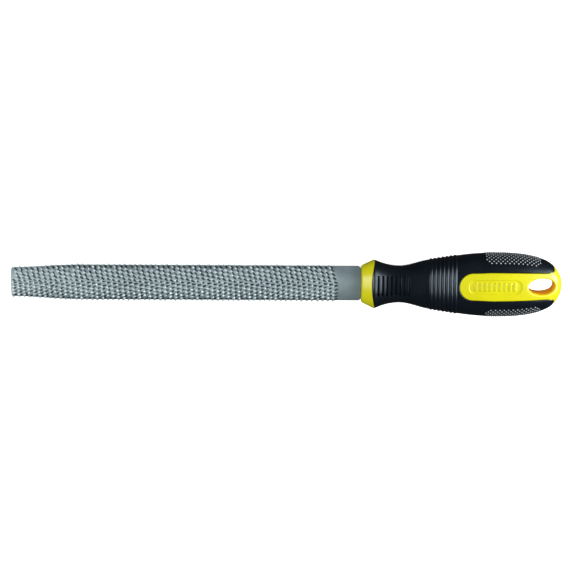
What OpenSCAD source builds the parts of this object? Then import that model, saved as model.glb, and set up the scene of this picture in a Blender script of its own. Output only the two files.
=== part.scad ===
// Half-round wood rasp with a two-colour moulded handle.
//
// X runs along the tool, from the tip of the blade (-X) to the end of the handle (+X).
// Y runs across the blade. Z is square to the flat face, and the half-round face is up.
// The origin is on the centre line of the tool, midway along it. Inside the modules x = 0 is
// the front of the handle, and place() moves a finished piece to the final frame.

/* [Blade] */
// Length of the blade, from its tip to its shoulders
blade_l = 200; // [160:1:250]
// Width of the blade along its parallel part
blade_w = 20; // [16:0.5:24]
// Thickness of the blade from the flat face to the crown
blade_t = 6; // [5:0.25:8]
// Height of the straight edge below the half-round face
blade_edge = 1; // [0.6:0.1:1.6]
// Width of the blade at its tip
tip_w = 16.8; // [13:0.1:17]
// Thickness of the blade at its tip
tip_t = 4.4; // [3.6:0.1:5]
// Length over which the blade narrows to its tip
tip_run = 40; // [20:1:80]
// Size of the broken corners at the tip
tip_corner = 0.7; // [0.3:0.1:1.2]
// Length of the bare heel between the teeth and the shoulders
heel_l = 15; // [8:1:30]
// Radius of the two shoulders at the heel
shoulder_r = 2.2; // [1:0.1:3]

/* [Teeth] */
// Distance between two rows of teeth along the blade
tooth_pitch = 6; // [5:0.5:12]
// Number of teeth in one row across a face
tooth_count = 5; // [3:1:6]
// Height of a tooth above the face
tooth_h = 0.7; // [0.4:0.05:1]
// Length of the foot of a tooth
tooth_l = 2; // [1.4:0.1:3]
// Width of the foot of a tooth
tooth_w = 1.5; // [1:0.1:2]
// Depth to which the foot of a tooth is sunk in the steel
tooth_root = 0.2; // [0.1:0.05:0.4]

/* [Tang] */
// Length of the tang beyond the shoulders
tang_l = 62; // [45:1:75]
// Width of the tang at the shoulders
tang_w = 11; // [8:0.5:13]
// Thickness of the tang at the shoulders
tang_t = 4.6; // [3.5:0.1:5]
// Width of the tang at its point
tang_end_w = 4; // [3:0.5:6]
// Thickness of the tang at its point
tang_end_t = 2.8; // [2:0.1:3.5]
// Clearance all round the tang in its socket
tang_fit = 0.04; // [0.02:0.01:0.1]
// Space left in the socket beyond the point of the tang
tang_gap = 1; // [0.5:0.5:4]

/* [Handle] */
// Length of the handle
handle_l = 114.5; // [100:0.5:140]
// Thickness of the collar above and below the blade at the front
collar_wall = 4.2; // [3:0.1:6]
// Distance of the collar's ridge from the front
ridge_x = 7.4; // [5:0.1:10]
// Height of the ridge over the front of the collar
ridge_rise = 4; // [2:0.1:6]
// Distance of the waist from the front
waist_x = 22; // [18:0.5:28]
// Width of the handle at the waist
waist_w = 21.1; // [18:0.1:24]
// Thickness of the handle at the waist
waist_t = 16.8; // [15:0.1:20]
// Distance of the first ring from the front
ring_x = 38.3; // [36:0.1:46]
// Width of the handle at the first ring
ring_w = 28.1; // [25:0.1:32]
// Thickness of the handle at the first ring
ring_t = 21.3; // [19:0.1:25]
// Distance of the belly, the fullest part, from the front
belly_x = 75; // [65:0.5:80]
// Width of the handle at the belly
belly_w = 36.4; // [32:0.1:44]
// Thickness of the handle at the belly
belly_t = 26; // [23:0.1:32]
// Width of the handle where its end begins to round off
rear_w = 29.2; // [26:0.1:32]
// Thickness of the handle where its end begins to round off
rear_t = 19.4; // [16:0.1:23]
// Length of the half ellipse that rounds off the end
end_run = 16; // [12:0.5:20]

/* [Grip] */
// Thickness of the soft grip over the hard core
grip_wall = 2.5; // [1.8:0.1:3]
// Distance of the grip's front edge from the front of the handle, at mid width
grip_x = 5.8; // [4:0.1:8]
// Radius of the curve of the grip's front edge
grip_front_r = 52; // [30:1:90]
// Length of the hard end left bare behind the grip
end_l = 4.8; // [3:0.1:8]
// Height of the rings over the grip
ring_h = 0.5; // [0.2:0.05:0.8]
// Distance between two rings
ring_pitch = 2.3; // [2:0.1:3]
// Number of rings
ring_count = 7; // [4:1:8]

/* [Thumb ribs] */
// Width of the thumb ribs
rib_w = 11.5; // [9:0.5:14]
// Distance between two thumb ribs
rib_pitch = 2.5; // [2:0.1:3]
// Width of the groove between two thumb ribs
groove_w = 1.2; // [0.8:0.1:1.6]
// Number of grooves between the thumb ribs
groove_count = 8; // [5:1:9]
// Distance of the first groove from the front of the handle
groove_x = 9.4; // [8:0.1:11]
// Depth of the first and deepest groove
groove_deep = 1.4; // [0.8:0.1:2]
// Depth of the last and shallowest groove
groove_low = 0.5; // [0.3:0.1:1]

/* [Pimples] */
// Distance of the first pimples from the front of the handle
pimple_x = 71; // [60:0.5:76]
// Length of the field of pimples on each side
pimple_run = 30; // [15:0.5:32]
// Distance between two pimples along the handle
pimple_pitch = 5; // [4:0.5:10]
// Number of rows of pimples round each side
pimple_rows = 7; // [3:2:9]
// Turn round the handle from the middle of a side to its last row
pimple_turn = 50; // [30:1:56]
// Height of a pimple over the grip
pimple_h = 0.35; // [0.2:0.05:0.5]
// Diameter of the foot of a pimple
pimple_d = 1.2; // [0.8:0.1:1.6]

/* [Panels] */
// Distance of the panel's round end from the front of the handle
panel_x = 55; // [50:0.5:62]
// Width of the panel at its round end
panel_w = 16; // [13:0.1:20]
// Width of the panel at the belly
panel_mid_w = 16.8; // [13:0.1:20]
// Width of the panel at the end of the handle
panel_end_w = 15; // [12:0.1:18]
// Depth of the panel below the grip
panel_step = 0.3; // [0.1:0.05:0.6]
// Length of the sunk field on the panel
field_l = 30; // [20:0.5:32]
// Width of the sunk field on the panel
field_w = 8; // [5:0.5:11]
// Distance of the sunk field from the round end of the panel
field_x = 5.5; // [3:0.5:9]
// Depth of the sunk field
field_deep = 0.5; // [0.2:0.05:0.8]
// Number of upright bars on the sunk field
bar_count = 9; // [4:1:9]
// Width of a bar
bar_w = 1.6; // [1:0.1:2]

/* [Hanging hole] */
// Distance of the hole from the end of the handle
hole_end = 4.5; // [3.5:0.1:6]
// Length of the hole
hole_l = 15.8; // [10:0.1:17]
// Width of the hole
hole_w = 9.2; // [6:0.1:10]
// Size of the flare at both faces of the hole
hole_flare = 1.2; // [0.5:0.1:2]

/* [Hidden] */

ring_n = 40;      // points round one cross-section of the handle
arc_n = 18;       // steps across the half-round face
fine = 32;        // facets of a round
edge_steps = 2;   // cross-sections along the rounded front edge
cone_steps = 4;   // cross-sections along the collar
ridge_steps = 4;  // cross-sections over the ridge
neck_steps = 7;   // cross-sections on each side of the waist
swell_steps = 9;  // cross-sections from the first ring to the belly
rear_steps = 8;   // cross-sections from the belly to the end
end_steps = 7;    // cross-sections round the end
ring_steps = 4;   // cross-sections on each ring
taper_steps = 6;  // cross-sections along the taper of the blade
shoulder_steps = 5; // cross-sections round the shoulders
pimple_sides = 5; // sides of a pimple
square_n = 2.4;   // how square the handle's cross-section is, 2 for an ellipse
edge_run = 0.8;   // run of the rounded front edge of the collar
edge_rise = 0.9;  // rise of the rounded front edge of the collar
ridge_run = 0.8;  // run of the rounding on each side of the ridge
ridge_drop = 0.3; // fall of that rounding
steep = 1.3;      // slope of the front edge of the collar
waist_slope = 0.45; // slope of the hollow behind the ridge
ring_slope = 0.15;  // slope of the handle at the first ring
end_cut = 0.344;    // share of the end ellipse that lies inside the tapering part
last_turn = 86;     // turn of the end ellipse at which the handle is closed
over = 1;           // how far a cutter runs past what it cuts
tip_lean = 0.6;     // how far the point of a tooth leans forward past its foot

front_w = blade_w;
front_t = blade_t + 2*collar_wall;
rear_x = handle_l - end_run*(1 - end_cut);
end_x = handle_l - end_run;
end_half = [rear_w, rear_t]/2/sqrt(1 - end_cut*end_cut);
rear_slope = -end_half*end_cut/(end_run*sqrt(1 - end_cut*end_cut));
cone_slope = (ridge_rise - ridge_drop - edge_rise)/(ridge_x - ridge_run - edge_run);
grip_end = handle_l - end_l;
crown_r = (pow(blade_w/2, 2) + pow(blade_t - blade_edge, 2))/(2*(blade_t - blade_edge));
tooth_zone = blade_l - heel_l;
ring_zone = ring_count*ring_pitch;

// Stations of the handle's outline: x, [half width, half thickness], [their slopes]
FRONT = [front_w, front_t]/2;
STATIONS = [
    [0, FRONT, [steep, steep]],
    [edge_run, FRONT + edge_rise*[1, 1], cone_slope*[1, 1]],
    [ridge_x - ridge_run, FRONT + (ridge_rise - ridge_drop)*[1, 1], cone_slope*[1, 1]],
    [ridge_x, FRONT + ridge_rise*[1, 1], [0, 0]],
    [ridge_x + ridge_run, FRONT + (ridge_rise - ridge_drop)*[1, 1], -waist_slope*[1, 1]],
    [waist_x, [waist_w, waist_t]/2, [0, 0]],
    [ring_x, [ring_w, ring_t]/2, ring_slope*[1, 1]],
    [belly_x, [belly_w, belly_t]/2, [0, 0]],
    [rear_x, [rear_w, rear_t]/2, rear_slope]
];

// A smooth cubic from station a to station b
function between(a, b, x) =
    let (l = b[0] - a[0], u = (x - a[0])/l)
    (2*pow(u, 3) - 3*pow(u, 2) + 1)*a[1] + (pow(u, 3) - 2*pow(u, 2) + u)*l*a[2]
    + (3*pow(u, 2) - 2*pow(u, 3))*b[1] + (pow(u, 3) - pow(u, 2))*l*b[2];

function end_share(x) = min((x - end_x)/end_run, sin(last_turn));

// Half width and half thickness of the handle at x
function half_size(x) =
    x >= rear_x
    ? end_half*sqrt(1 - pow(end_share(x), 2))
    : [for (i = [0:len(STATIONS) - 2])
        if (x >= STATIONS[i][0] && x < STATIONS[i + 1][0])
            between(STATIONS[i], STATIONS[i + 1], x)][0];

// Height of the rings over the outline at x
function ring_bump(x) =
    x < ring_x || x > ring_x + ring_zone ? 0 : ring_h*pow(sin(180*(x - ring_x)/ring_pitch), 2);

// Positions of the cross-sections: close together where the outline turns
function run(a, b, n) = [for (i = [0:n - 1]) a + (b - a)*i/n];
PLAIN_X = concat(
    run(0, edge_run, edge_steps),
    run(edge_run, ridge_x - ridge_run, cone_steps),
    run(ridge_x - ridge_run, ridge_x + ridge_run, ridge_steps),
    run(ridge_x + ridge_run, waist_x, neck_steps),
    run(waist_x, ring_x, neck_steps),
    run(ring_x, belly_x, swell_steps),
    run(belly_x, rear_x, rear_steps),
    [for (i = [0:end_steps - 1])
        end_x + end_run*sin(asin(end_cut) + (last_turn - asin(end_cut))*i/end_steps)],
    [handle_l]);
CORE_X = concat(
    [for (i = [0:2:len(PLAIN_X) - 1]) if (PLAIN_X[i] < grip_end - over) PLAIN_X[i]],
    [grip_end + over]);
RINGED_X = concat(
    [for (x = PLAIN_X) if (x < ring_x) x],
    run(ring_x, ring_x + ring_zone, ring_steps*ring_count),
    [for (x = PLAIN_X) if (x >= ring_x + ring_zone) x]);

// The cross-section's point on a turn, and the direction square to it there
function rounded(v) = sign(v)*pow(abs(v), 2/square_n);
function signed_lean(v) = sign(v)*pow(abs(v), 2 - 2/square_n);

// One cross-section, with its half sizes taken in by inset and let out by swell
function handle_ring(x, inset = 0, swell = 0, n = ring_n) =
    let (h = half_size(x) + (swell - inset)*[1, 1])
    [for (i = [0:n - 1]) let (a = 360*i/n) [x, h[0]*rounded(cos(a)), h[1]*rounded(sin(a))]];

// A closed solid through a list of rings that all have as many points
module loft(rings) {
    n = len(rings[0]);
    last = len(rings) - 1;
    polyhedron(
        points = [for (r = rings) each r],
        faces = concat(
            [[for (j = [0:n - 1]) j]],
            [for (i = [0:last - 1], j = [0:n - 1], k = [0, 1])
                let (a = i*n + j, b = i*n + (j + 1)%n)
                k == 0 ? [a, a + n, b] : [b, a + n, b + n]],
            [[for (j = [n - 1:-1:0]) last*n + j]]));
}

module place() {
    translate([(blade_l - handle_l)/2, 0, 0]) children();
}

// ---- Rasp blade ----------------------------------------------------------------------

function smooth(u) = u*u*(3 - 2*u);

// Width and thickness of the blade at a distance from its tip
function blade_size(d) =
    d >= tip_run ? [blade_w, blade_t]
    : [tip_w, tip_t] + ([blade_w, blade_t] - [tip_w, tip_t])*smooth(d/tip_run);

// Flat face below, straight edges, half-round face above; the width is cut in by trim on each side
function blade_ring(d, trim = 0) =
    let (s = blade_size(d), y = s[0]/2 - trim, turn = asin(y/crown_r))
    concat(
        [[d - blade_l, y, -blade_t/2]],
        [for (i = [0:arc_n]) let (a = turn*(1 - 2*i/arc_n))
            [d - blade_l, crown_r*sin(a), s[1] - blade_t/2 - crown_r*(1 - cos(a))]],
        [[d - blade_l, -y, -blade_t/2]]);

module blade_body() {
    loft(concat(
        [blade_ring(0, tip_corner)],
        [for (i = [0:taper_steps]) blade_ring(tip_corner + (tip_run - tip_corner)*i/taper_steps)],
        [for (i = [0:shoulder_steps]) let (a = 90*i/shoulder_steps)
            blade_ring(blade_l - shoulder_r*(1 - sin(a)), shoulder_r*(1 - cos(a)))]));
}

// One spur: a narrow foot and a point that leans towards the tip of the blade
module tooth() {
    hull() polyhedron(
        points = [
            [tooth_l/2, 0, -tooth_root],
            [-tooth_l/2, tooth_w/2, -tooth_root],
            [-tooth_l/2, -tooth_w/2, -tooth_root],
            [-tooth_l/2 + tip_lean, 0, tooth_h]],
        faces = [[0, 1, 2], [0, 3, 1], [1, 3, 2], [2, 3, 0]]);
}

// Rows of teeth over one face. Every other row has one tooth less and stands in the spaces.
module teeth(round_face) {
    rows = floor((tooth_zone - tooth_l)/tooth_pitch);
    for (row = [0:rows - 1], i = [0:tooth_count - 1 - row%2]) {
        d = tooth_l + row*tooth_pitch;
        size = blade_size(d);
        share = (2*i + 1 + row%2)/tooth_count - 1;
        turn = share*asin((size[0]/2 - tooth_w/2)/crown_r);
        if (round_face)
            translate([d - blade_l, 0, size[1] - blade_t/2 - crown_r])
                rotate([-turn, 0, 0]) translate([0, 0, crown_r]) tooth();
        else
            translate([d - blade_l, share*(size[0] - tooth_w)/2, -blade_t/2])
                mirror([0, 0, 1]) tooth();
    }
}

// The tang, let out by grow on all sides and lengthened by extra
module tang(grow = 0, extra = 0) {
    start = [-grow, tang_w/2 + grow, tang_t/2 + grow];
    point = [tang_l + extra, tang_end_w/2 + grow, tang_end_t/2 + grow];
    loft([for (s = [start, point])
        [for (c = [[1, -1], [1, 1], [-1, 1], [-1, -1]]) [s[0], c[0]*s[1], c[1]*s[2]]]]);
}

module rasp_blade() {
    color([0.52, 0.58, 0.58]) place() {
        blade_body();
        tang();
        teeth(true);
        teeth(false);
    }
}

// ---- Handle --------------------------------------------------------------------------

// Outline of the panel on each face, open towards the end of the handle
module panel_outline() {
    hull() {
        translate([panel_x + panel_w/2, 0]) circle(d = panel_w, $fn = fine);
        translate([belly_x, 0]) circle(d = panel_mid_w, $fn = fine);
        translate([handle_l + over, 0]) square([over, panel_end_w], center = true);
    }
}

// A slot along Y, round at both ends
module slot_y(l, w, h) {
    hull() for (s = [-1, 1]) translate([0, s*(l - w)/2, 0])
        cylinder(d = w, h = h, $fn = fine/2);
}

// Both panels' outlines as one prism that runs past the handle's fullest part
module panel_prism() {
    linear_extrude(height = belly_t + 2*over, center = true) panel_outline();
}

// Everything between the grip's curved front edge and its end
module grip_span() {
    reach = belly_w;
    intersection() {
        translate([grip_x + grip_front_r, 0, -reach])
            cylinder(r = grip_front_r, h = 2*reach, $fn = 4*fine);
        translate([0, -reach, -reach]) cube([grip_x + grip_front_r, 2*reach, 2*reach]);
    }
    translate([grip_x + grip_front_r - over, -reach, -reach])
        cube([grip_end - grip_x - grip_front_r + over, 2*reach, 2*reach]);
}

// The body of the core under the grip, where half as many points will do
module core_body() {
    loft([for (x = CORE_X) handle_ring(x, grip_wall, 0, ring_n/2)]);
}

// The handle's outline, sunk by the panel step behind the collar
module hard_outline(inset = 0) {
    loft([for (x = PLAIN_X) handle_ring(x, inset + (x > ridge_x + ridge_run ? panel_step : 0))]);
}

// An oval hole through both panels, flared at both faces
module hanging_hole() {
    face = half_size(handle_l - hole_end - hole_w/2)[1] - panel_step;
    module oval(grow, h) {
        translate([handle_l - hole_end - hole_l/2, 0, 0])
            linear_extrude(h) scale([hole_l/2 + grow, hole_w/2 + grow]) circle(1, $fn = fine);
    }
    translate([0, 0, -belly_t/2]) oval(0, belly_t);
    for (side = [0, 1]) mirror([0, 0, side])
        hull() {
            translate([0, 0, face - hole_flare]) oval(0, hole_flare);
            translate([0, 0, face]) oval(hole_flare, belly_t/2 - face);
        }
}

// A shallow field on the panel with upright bars left standing on it
module panel_field() {
    middle = panel_x + field_x + field_l/2;
    difference() {
        translate([middle, 0, 0]) rotate([0, 0, 90]) slot_y(field_l, field_w, belly_t);
        for (i = [0:bar_count - 1])
            translate([middle + (field_l - field_w)*(i/(bar_count - 1) - 0.5), 0, 0])
                slot_y(field_w - 2*bar_w, bar_w, belly_t);
    }
}

module handle_core() {
    color([0.86, 0.84, 0.08]) place() difference() {
        union() {
            core_body();
            difference() {
                hard_outline();
                grip_span();
            }
            intersection() {
                hard_outline();
                panel_prism();
            }
        }
        tang(tang_fit, tang_gap);
        hanging_hole();
        difference() {
            for (side = [0, 1]) mirror([0, 0, side]) panel_field();
            hard_outline(field_deep);
        }
    }
}

// The grooves that part the thumb ribs, deepest beside the collar
module thumb_grooves() {
    for (i = [0:groove_count - 1]) {
        x = groove_x + i*rib_pitch;
        deep = groove_deep + (groove_low - groove_deep)*i/(groove_count - 1);
        translate([x, 0, half_size(x)[1] - deep]) slot_y(rib_w, groove_w, belly_t);
    }
}

// A field of small cones round one side of the grip, every other row moved on by half a pitch
module pimples() {
    columns = floor(pimple_run/pimple_pitch);
    for (row = [0:pimple_rows - 1], i = [0:columns - 1 - row%2]) {
        x = pimple_x + (i + (row%2)/2)*pimple_pitch;
        turn = pimple_turn*(2*row/(pimple_rows - 1) - 1);
        h = half_size(x);
        lean = atan2(signed_lean(sin(turn))/h[1], signed_lean(cos(turn))/h[0]);
        translate([x, h[0]*rounded(cos(turn)), h[1]*rounded(sin(turn))])
            rotate([lean - 90, 0, 0]) translate([0, 0, -pimple_h])
                cylinder(d1 = 2*pimple_d, d2 = 0, h = 2*pimple_h, $fn = pimple_sides);
    }
}

module soft_grip() {
    color([0.07, 0.09, 0.11]) place() {
        difference() {
            intersection() {
                loft([for (x = RINGED_X) handle_ring(x, 0, ring_bump(x))]);
                grip_span();
            }
            core_body();
            panel_prism();
            for (side = [0, 1]) mirror([0, 0, side]) thumb_grooves();
        }
        for (side = [0, 1]) mirror([0, side, 0]) pimples();
    }
}

rasp_blade();
handle_core();
soft_grip();
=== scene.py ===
"""Half-round wood rasp with a two-colour moulded handle: its visible pieces, finishes and studio.

Lengths inside the classes are millimetres from the front of the handle, with X towards the hanging
hole, Y across the blade and Z out of the half-round face. Shell carries the finished meshes over to
the tool's own frame, in metres.
"""

import logging
import math
from collections.abc import Iterator
from dataclasses import dataclass, field
from enum import Enum
from typing import ClassVar, Protocol

import bmesh
import bpy
import numpy as np
from mathutils import Matrix, Vector

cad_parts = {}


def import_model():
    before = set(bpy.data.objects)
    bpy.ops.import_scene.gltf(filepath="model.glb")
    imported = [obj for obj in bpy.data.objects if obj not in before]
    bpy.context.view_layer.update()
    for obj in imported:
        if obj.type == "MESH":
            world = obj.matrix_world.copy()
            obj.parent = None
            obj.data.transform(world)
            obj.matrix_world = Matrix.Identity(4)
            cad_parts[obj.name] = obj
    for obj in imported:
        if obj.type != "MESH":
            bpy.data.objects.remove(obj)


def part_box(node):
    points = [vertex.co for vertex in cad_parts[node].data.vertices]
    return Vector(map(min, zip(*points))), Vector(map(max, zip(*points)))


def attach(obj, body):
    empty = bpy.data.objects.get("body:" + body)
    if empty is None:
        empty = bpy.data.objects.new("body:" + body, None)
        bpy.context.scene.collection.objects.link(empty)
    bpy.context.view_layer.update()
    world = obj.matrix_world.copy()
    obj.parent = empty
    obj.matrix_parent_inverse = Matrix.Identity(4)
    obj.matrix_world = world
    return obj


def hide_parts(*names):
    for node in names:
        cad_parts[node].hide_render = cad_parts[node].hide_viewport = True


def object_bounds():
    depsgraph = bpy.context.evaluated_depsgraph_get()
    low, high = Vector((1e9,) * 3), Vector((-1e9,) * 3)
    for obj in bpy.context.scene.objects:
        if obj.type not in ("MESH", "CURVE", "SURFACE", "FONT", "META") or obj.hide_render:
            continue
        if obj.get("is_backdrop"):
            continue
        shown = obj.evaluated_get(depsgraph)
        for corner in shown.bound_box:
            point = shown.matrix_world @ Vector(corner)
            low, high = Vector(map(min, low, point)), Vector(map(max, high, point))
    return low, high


LOG = logging.getLogger("rasp")
BODY = "root"

# one millimetre, and the gap between the tool and the floor, in metres
MM = 0.001
FLOOR_GAP = 0.0001

QUARTER = math.pi / 2
TINY = 1e-9
UNIT = (0.0, 1.0)

Colour = tuple[float, float, float]
Triple = tuple[float, float, float]
Pair = tuple[float, float]
Socket = bpy.types.NodeSocket

# X and turn about X of points on the handle's outline
Places = tuple[np.ndarray, np.ndarray]


class Node(Enum):
    """The separate pieces of the tool, by the names of their solids."""

    BLADE = "rasp_blade"
    CORE = "handle_core"
    GRIP = "soft_grip"


class Slot(Enum):
    """The finishes that the record names."""

    STEEL = "blade_steel"
    PLASTIC = "yellow_plastic"
    RUBBER = "black_rubber"


def ease(t: np.ndarray) -> np.ndarray:
    """Smooth step from 0 to 1 as t runs from 0 to 1."""
    t = np.clip(t, 0.0, 1.0)
    return t * t * (3.0 - 2.0 * t)


def spaced(start: float, end: float, pitch: float) -> np.ndarray:
    """Evenly spaced values from start up to, and without, end.

    Args:
        start: The first value.
        end: The value that the run leads to.
        pitch: The largest distance between two values.

    Returns:
        The values, as a one-dimensional array.
    """
    count = max(1, math.ceil(round((end - start) / pitch, 6)))
    return start + (end - start) * np.arange(count) / count


def unit(v: np.ndarray) -> np.ndarray:
    """The same directions with length one."""
    return v / np.maximum(np.linalg.norm(v, axis=-1, keepdims=True), TINY)


def boxed(ring: np.ndarray, x: float, wide: float, thick: float) -> np.ndarray:
    """Pulls a ring of points round X onto a rectangle, each along its own spoke.

    Args:
        ring: The points, in order round X.
        x: Place of the rectangle.
        wide: Its size along Y.
        thick: Its size along Z.

    Returns:
        As many points, on the rectangle.
    """
    reach = np.maximum(np.abs(ring[:, 1]) / (wide / 2.0), np.abs(ring[:, 2]) / (thick / 2.0))
    flat = ring / np.maximum(reach, TINY)[:, None]
    return np.stack([np.full(len(ring), x), flat[:, 1], flat[:, 2]], axis=1)


class Shell:
    """Gathers grids of points, joins them where they meet, and makes one mesh of them.

    Points closer than the joining distance become one. The shift keeps round coordinates, above all
    those on the planes of symmetry, clear of the places where the rounding changes over.
    """

    JOIN: ClassVar[float] = 2e-4
    SHIFT: ClassVar[float] = 0.137

    def __init__(self) -> None:
        """Starts with no points."""
        self.points: list[np.ndarray] = []
        self.marks: list[np.ndarray] = []
        self.quads: list[np.ndarray] = []
        self.count = 0

    def add(self, grid: np.ndarray, mark: np.ndarray | None = None) -> None:
        """Adds one grid of points, whose neighbours form four-sided faces.

        Args:
            grid: Points by row and column, shape (rows, columns, 3).
            mark: One number for each point, or None for zeros.
        """
        rows, columns = grid.shape[:2]
        at = self.count + np.arange(rows * columns).reshape(rows, columns)
        self.quads.append(
            np.stack([at[:-1, :-1], at[1:, :-1], at[1:, 1:], at[:-1, 1:]], axis=-1).reshape(-1, 4)
        )
        self.points.append(grid.reshape(-1, 3))
        self.marks.append(np.zeros(rows * columns) if mark is None else mark.reshape(-1))
        self.count += rows * columns

    def add_quarters(self, grid: np.ndarray, mark: np.ndarray | None = None) -> None:
        """Adds a grid that fills one quarter of the section, and its three mirror images.

        Args:
            grid: Points by row and column, shape (rows, columns, 3).
            mark: One number for each point, or None for zeros.
        """
        for side in ((1, 1), (-1, 1), (1, -1), (-1, -1)):
            self.add(grid * np.array([1.0, side[0], side[1]]), mark)

    def mesh(self, name: str, place: float, mark: str = "") -> bpy.types.Mesh:
        """Joins equal points and makes the mesh.

        Args:
            name: Name of the mesh.
            place: Distance in metres by which the mesh moves along X to its place.
            mark: Name of the point attribute that takes the marks, or "" for none.

        Returns:
            The mesh, in metres, with its faces turned outwards.
        """
        points = np.concatenate(self.points)
        keys = np.round(points / self.JOIN + self.SHIFT).astype(np.int64)
        _, first, same = np.unique(keys, axis=0, return_index=True, return_inverse=True)
        quads = same.reshape(-1)[np.concatenate(self.quads)]
        faces = []
        for quad in quads.tolist():
            face = [p for i, p in enumerate(quad) if p != quad[i - 1]]
            if len(set(face)) > 2 and len(set(face)) == len(face):
                faces.append(face)
        mesh = bpy.data.meshes.new(name)
        placed = points[first] * MM + np.array([place, 0.0, 0.0])
        mesh.from_pydata(placed.tolist(), [], faces)
        if mark:
            layer = mesh.attributes.new(mark, "FLOAT", "POINT")
            layer.data.foreach_set("value", np.concatenate(self.marks)[first].astype(np.float32))
        work = bmesh.new()
        work.from_mesh(mesh)
        bmesh.ops.recalc_face_normals(work, faces=work.faces)
        work.to_mesh(mesh)
        work.free()
        mesh.shade_smooth()
        return mesh


@dataclass(frozen=True)
class HandleForm:
    """Outline of the handle: a squarish oval section that swells and narrows along X."""

    length: float = 114.5
    front_w: float = 20.0
    front_t: float = 14.4
    # rounded front edge, and the collar's cone up to its ridge
    edge_run: float = 0.8
    edge_rise: float = 0.9
    edge_slope: float = 1.3
    ridge_x: float = 7.4
    ridge_rise: float = 4.0
    ridge_run: float = 0.8
    ridge_drop: float = 0.3
    # X, width and thickness at the waist, before the rings and at the belly
    waist_slope: float = 0.45
    waist: Triple = (22.0, 21.1, 16.8)
    ring: Triple = (38.3, 28.1, 21.3)
    ring_slope: float = 0.15
    belly: Triple = (75.0, 36.4, 26.0)
    # width and thickness where the end rounds off; the cut is how much of its half ellipse is left out
    rear_w: float = 29.2
    rear_t: float = 19.4
    end_run: float = 16.0
    end_cut: float = 0.344
    # power of the section's oval, and the step over which slopes are measured
    squareness: float = 2.4
    slope_step: float = 0.02

    @property
    def rear_x(self) -> float:
        """Where the end begins to round off."""
        return self.length - self.end_run * (1.0 - self.end_cut)

    @property
    def end_x(self) -> float:
        """Middle of the half ellipse at the end."""
        return self.length - self.end_run

    @property
    def end_half(self) -> np.ndarray:
        """Half width and half thickness of that ellipse at its middle."""
        return np.array([self.rear_w, self.rear_t]) / 2.0 / math.sqrt(1.0 - self.end_cut**2)

    def stations(self) -> tuple[np.ndarray, np.ndarray, np.ndarray]:
        """The places that fix the outline.

        Returns:
            Their X, their half sizes, and the slopes of those half sizes.
        """
        front = np.array([self.front_w, self.front_t]) / 2.0
        both = np.ones(2)
        climb = self.ridge_rise - self.ridge_drop
        cone = (climb - self.edge_rise) / (self.ridge_x - self.ridge_run - self.edge_run)
        rear = -self.end_half * self.end_cut / (self.end_run * math.sqrt(1.0 - self.end_cut**2))
        rows = [
            (0.0, front, self.edge_slope * both),
            (self.edge_run, front + self.edge_rise, cone * both),
            (self.ridge_x - self.ridge_run, front + climb, cone * both),
            (self.ridge_x, front + self.ridge_rise, 0.0 * both),
            (self.ridge_x + self.ridge_run, front + climb, -self.waist_slope * both),
            (self.waist[0], np.array(self.waist[1:]) / 2.0, 0.0 * both),
            (self.ring[0], np.array(self.ring[1:]) / 2.0, self.ring_slope * both),
            (self.belly[0], np.array(self.belly[1:]) / 2.0, 0.0 * both),
            (self.rear_x, np.array([self.rear_w, self.rear_t]) / 2.0, rear),
        ]
        x, half, slope = zip(*rows)
        return np.array(x), np.array(half), np.array(slope)

    def end_share(self, x: np.ndarray) -> np.ndarray:
        """Height of the end ellipse at x, as a share of its height at its middle."""
        share = np.clip((x - self.end_x) / self.end_run, 0.0, 1.0)
        return np.sqrt(1.0 - share**2)

    def half_size(self, x: np.ndarray) -> np.ndarray:
        """Half width and half thickness of the outline.

        Args:
            x: Distances from the front of the handle.

        Returns:
            Both half sizes, along a new last axis.
        """
        at, half, slope = self.stations()
        i = np.clip(np.searchsorted(at, x, side="right") - 1, 0, len(at) - 2)
        run = (at[i + 1] - at[i])[..., None]
        u = (x - at[i])[..., None] / run
        curve = (
            (2.0 * u**3 - 3.0 * u**2 + 1.0) * half[i]
            + (u**3 - 2.0 * u**2 + u) * run * slope[i]
            + (3.0 * u**2 - 2.0 * u**3) * half[i + 1]
            + (u**3 - u**2) * run * slope[i + 1]
        )
        end = self.end_half * self.end_share(x)[..., None]
        return np.where((x >= self.rear_x)[..., None], end, curve)

    def point(self, x: np.ndarray, turn: np.ndarray, inset: float = 0.0) -> np.ndarray:
        """Points on the outline, or on the outline taken in by an inset.

        Args:
            x: Distance from the front of the handle.
            turn: Turn about X in radians, from 0 at the side to a quarter turn at the top.
            inset: How much the half sizes are taken in; it fades out towards the end's point.

        Returns:
            The points, along the last axis.
        """
        fade = np.where(x < self.rear_x, 1.0, self.end_share(x) / math.sqrt(1.0 - self.end_cut**2))
        half = np.maximum(self.half_size(x) - inset * fade[..., None], 0.0)
        power = 2.0 / self.squareness
        across = np.abs(np.cos(turn)) ** power
        up = np.sign(np.sin(turn)) * np.abs(np.sin(turn)) ** power
        return np.stack([x, half[..., 0] * across, half[..., 1] * up], axis=-1)

    def locate(self, p: np.ndarray, inset: float = 0.0) -> Places:
        """The place on the outline that is nearest to points close to it.

        Args:
            p: Points in the quarter where Y and Z are positive.
            inset: How much the outline's half sizes are taken in.

        Returns:
            Their X and their turn about X in radians.
        """
        half = np.maximum(self.half_size(p[..., 0]) - inset, 1e-6)
        power = self.squareness / 2.0
        up = (np.abs(p[..., 2]) / half[..., 1]) ** power
        across = (np.abs(p[..., 1]) / half[..., 0]) ** power
        return p[..., 0], np.arctan2(up, across)

    def turn_at(self, x: np.ndarray, y: np.ndarray) -> np.ndarray:
        """Where the outline stands a given way off the middle.

        Args:
            x: Distances from the front of the handle.
            y: Distances across from the middle line.

        Returns:
            The turns about X, in radians.
        """
        share = np.clip(y / self.half_size(x)[..., 0], 0.0, 1.0)
        return np.arccos(share ** (self.squareness / 2.0))

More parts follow.
